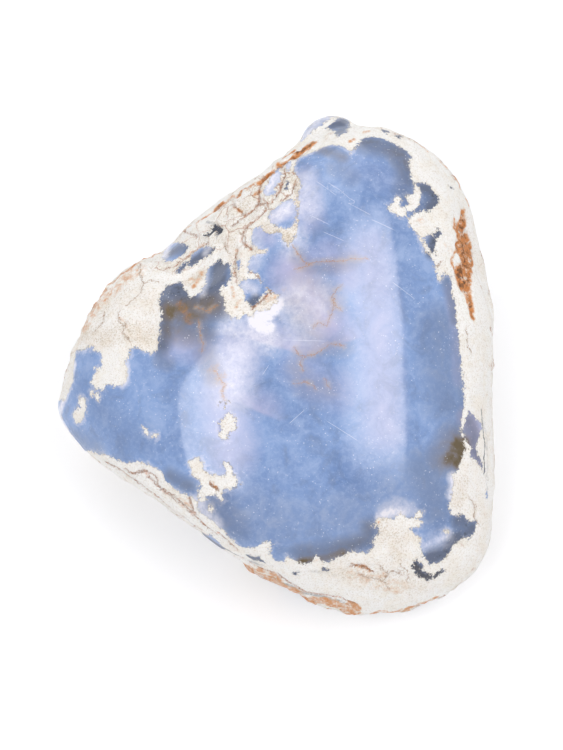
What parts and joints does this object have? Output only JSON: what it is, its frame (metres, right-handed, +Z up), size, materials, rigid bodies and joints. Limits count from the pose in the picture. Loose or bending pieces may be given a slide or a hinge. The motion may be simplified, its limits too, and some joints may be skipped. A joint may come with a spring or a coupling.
{
  "type": "rough angelite stone",
  "caption": "Palm-sized lump of rough blue angelite with a chalky white rind and one broad face tumbled smooth, resting on a flat spot underneath.",
  "frame": {"origin": "bottom centre of the stone's bounding box, in the plane of the flat that it rests on", "axes": "+Z up as the stone rests, +Y along the long way of the polished face towards its higher end, +X to the right seen from the low end"},
  "size_m": [0.0878, 0.1004, 0.0468],
  "materials": {
    "angelite": "blue anhydrite tumbled to a satin gloss on the broad face, with a matte chalk-white gypsum rind stained cream and rust"
  },
  "bodies": {
    "root": {"angelite_stone": "angelite"}
  },
  "joints": []
}
